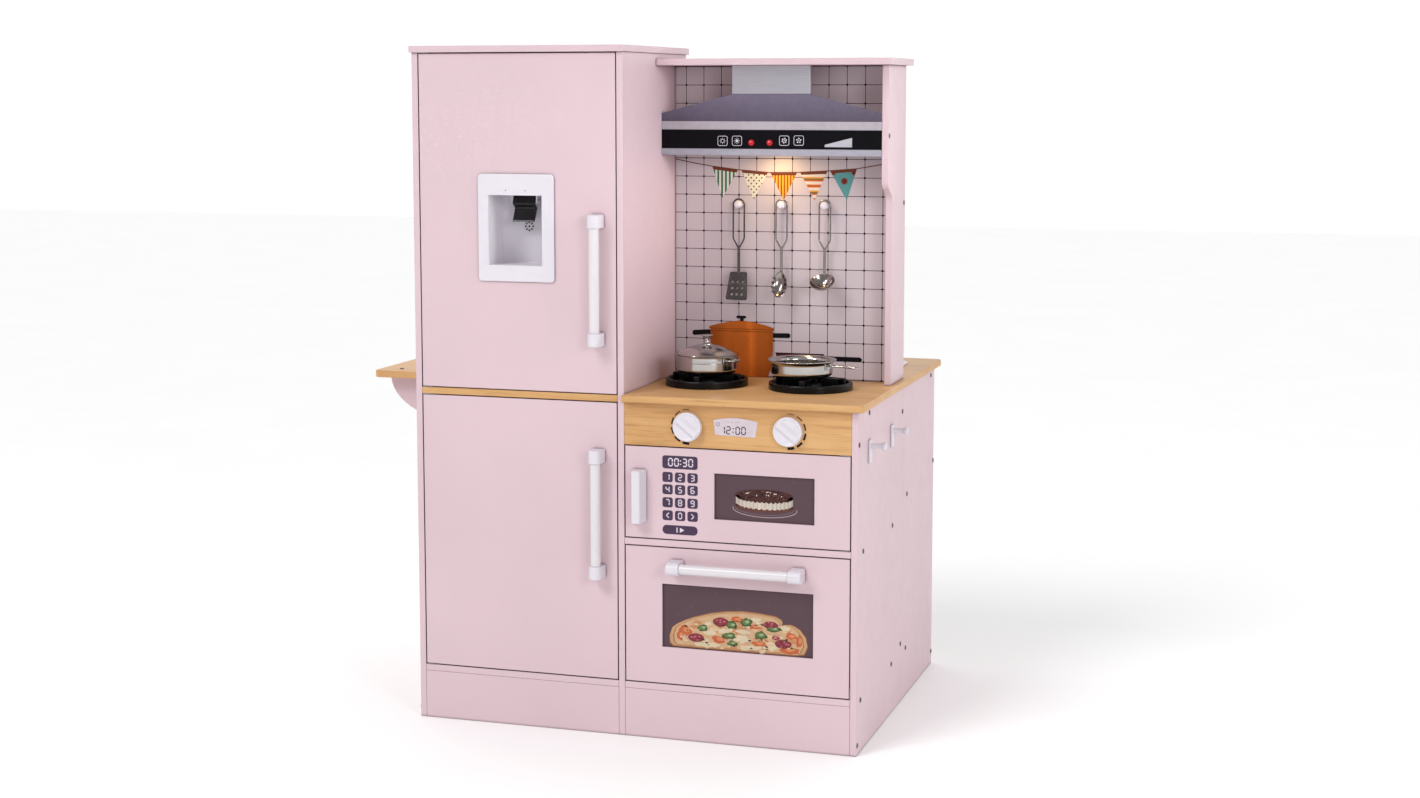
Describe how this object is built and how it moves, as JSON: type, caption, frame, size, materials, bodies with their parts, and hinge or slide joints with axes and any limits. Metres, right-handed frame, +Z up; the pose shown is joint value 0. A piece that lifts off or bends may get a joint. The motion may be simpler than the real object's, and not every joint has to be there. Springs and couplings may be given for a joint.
{
  "type": "toy kitchen",
  "caption": "Two-sided play kitchen: fridge tower, stove with oven, microwave and hood, rear sink counter, side table, and hanging and loose ware.",
  "frame": {"origin": "on the floor, at the centre of the bounding box of the whole kitchen", "axes": "+Z up; the stove and the doors face -Y; +X to the right as seen from the front, so the side table is on the -X side"},
  "size_m": [0.86, 0.587, 1.033],
  "materials": {
    "pink_board": "painted, satin",
    "oak_board": "light wood grain, satin",
    "inner_board": "white laminate",
    "hood_panel": "printed grey, satin",
    "print_board": "printed panel, satin",
    "steel": "brushed",
    "screw_steel": "dark zinc",
    "plate_steel": "zinc plated",
    "white_plastic": "glossy",
    "black_plastic": "satin",
    "grey_plastic": "pearl grey, satin",
    "window_plastic": "tinted, printed"
  },
  "bodies": {
    "cabinet": {"backsplash": "print_board", "burners": "black_plastic", "cabinet_screws": "screw_steel", "control_panel": "oak_board", "counter_front": "oak_board", "counter_rear": "oak_board", "faucet_base": "grey_plastic", "fridge_back_panel": "inner_board", "fridge_floor": "pink_board", "fridge_middle_shelf": "oak_board", "fridge_side_left": "pink_board", "fridge_side_right": "pink_board", "fridge_top": "pink_board", "hinge_plates": "plate_steel", "hood_front": "hood_panel", "hood_lamp": "white_plastic", "hood_post": "pink_board", "hood_top": "pink_board", "inner_shelves": "inner_board", "kick_boards": "pink_board", "magnet_catches": "white_plastic", "rails": "inner_board", "rear_divider": "pink_board", "rear_floor": "pink_board", "rear_shelves": "pink_board", "rear_side_panels": "pink_board", "side_hooks": "white_plastic", "side_table": "oak_board", "side_table_brackets": "pink_board", "sink_basin": "white_plastic", "stove_back_panel": "inner_board", "stove_floor": "pink_board", "stove_shelf": "pink_board", "stove_side_right": "pink_board", "utensil_pegs": "white_plastic"},
    "fridge_door": {"fridge_door": "pink_board", "fridge_handle_bar": "grey_plastic", "fridge_handle_ends": "white_plastic", "dispenser_housing": "white_plastic", "dispenser_pin": "steel"},
    "freezer_door": {"freezer_door": "pink_board", "freezer_handle_bar": "grey_plastic", "freezer_handle_ends": "white_plastic"},
    "microwave_door": {"microwave_door": "pink_board", "microwave_window": "window_plastic", "microwave_handle": "white_plastic"},
    "oven_door": {"oven_door": "pink_board", "oven_window": "window_plastic", "oven_handle_bar": "grey_plastic", "oven_handle_ends": "white_plastic"},
    "dispenser_lever": {"dispenser_lever": "black_plastic"},
    "knob_left": {"knob_left": "white_plastic"},
    "knob_right": {"knob_right": "white_plastic"},
    "pot": {"pot": "steel"},
    "pot_lid": {"pot_lid": "steel"},
    "pan": {"pan": "steel"},
    "spatula": {"spatula": "steel"},
    "spoon": {"spoon": "steel"},
    "ladle": {"ladle": "steel"},
    "faucet_spout": {"faucet_spout": "grey_plastic"}
  },
  "joints": [
    {"name": "fridge_hinge", "type": "hinge", "parent": "cabinet", "child": "fridge_door", "pos_m": [-0.2705, -0.2595, 0.77], "axis": [0, 0, -1], "range_deg": [0, 110]},
    {"name": "freezer_hinge", "type": "hinge", "parent": "cabinet", "child": "freezer_door", "pos_m": [-0.2705, -0.2595, 0.2955], "axis": [0, 0, -1], "range_deg": [0, 110]},
    {"name": "microwave_hinge", "type": "hinge", "parent": "cabinet", "child": "microwave_door", "pos_m": [0.3845, -0.2595, 0.37375], "axis": [0, 0, 1], "range_deg": [0, 110]},
    {"name": "oven_hinge", "type": "hinge", "parent": "cabinet", "child": "oven_door", "pos_m": [0.2205, -0.2595, 0.0935], "axis": [1, 0, 0], "range_deg": [0, 90]},
    {"name": "lever_hinge", "type": "hinge", "parent": "fridge_door", "child": "dispenser_lever", "pos_m": [-0.12325, -0.2235, 0.803], "axis": [1, 0, 0], "range_deg": [0, 12], "stiffness_Nm_per_rad": 0.02},
    {"name": "knob_left_turn", "type": "hinge", "parent": "cabinet", "child": "knob_left", "pos_m": [0.147, -0.2635, 0.4755], "axis": [0, -1, 0], "continuous": true},
    {"name": "knob_right_turn", "type": "hinge", "parent": "cabinet", "child": "knob_right", "pos_m": [0.3, -0.2635, 0.4755], "axis": [0, -1, 0], "continuous": true},
    {"name": "pot_lift", "type": "slide", "parent": "cabinet", "child": "pot", "axis": [0, 0, 1], "range_m": [0, 0.08]},
    {"name": "lid_lift", "type": "slide", "parent": "pot", "child": "pot_lid", "axis": [0, 0, 1], "range_m": [0, 0.06]},
    {"name": "pan_lift", "type": "slide", "parent": "cabinet", "child": "pan", "axis": [0, 0, 1], "range_m": [0, 0.08]},
    {"name": "spatula_unhook", "type": "slide", "parent": "cabinet", "child": "spatula", "axis": [0, -1, 0], "range_m": [0, 0.025]},
    {"name": "spoon_unhook", "type": "slide", "parent": "cabinet", "child": "spoon", "axis": [0, -1, 0], "range_m": [0, 0.025]},
    {"name": "ladle_unhook", "type": "slide", "parent": "cabinet", "child": "ladle", "axis": [0, -1, 0], "range_m": [0, 0.025]},
    {"name": "faucet_swivel", "type": "hinge", "parent": "cabinet", "child": "faucet_spout", "pos_m": [0.253, 0.0585, 0.54], "axis": [0, 0, 1], "range_deg": [-60, 60]}
  ]
}
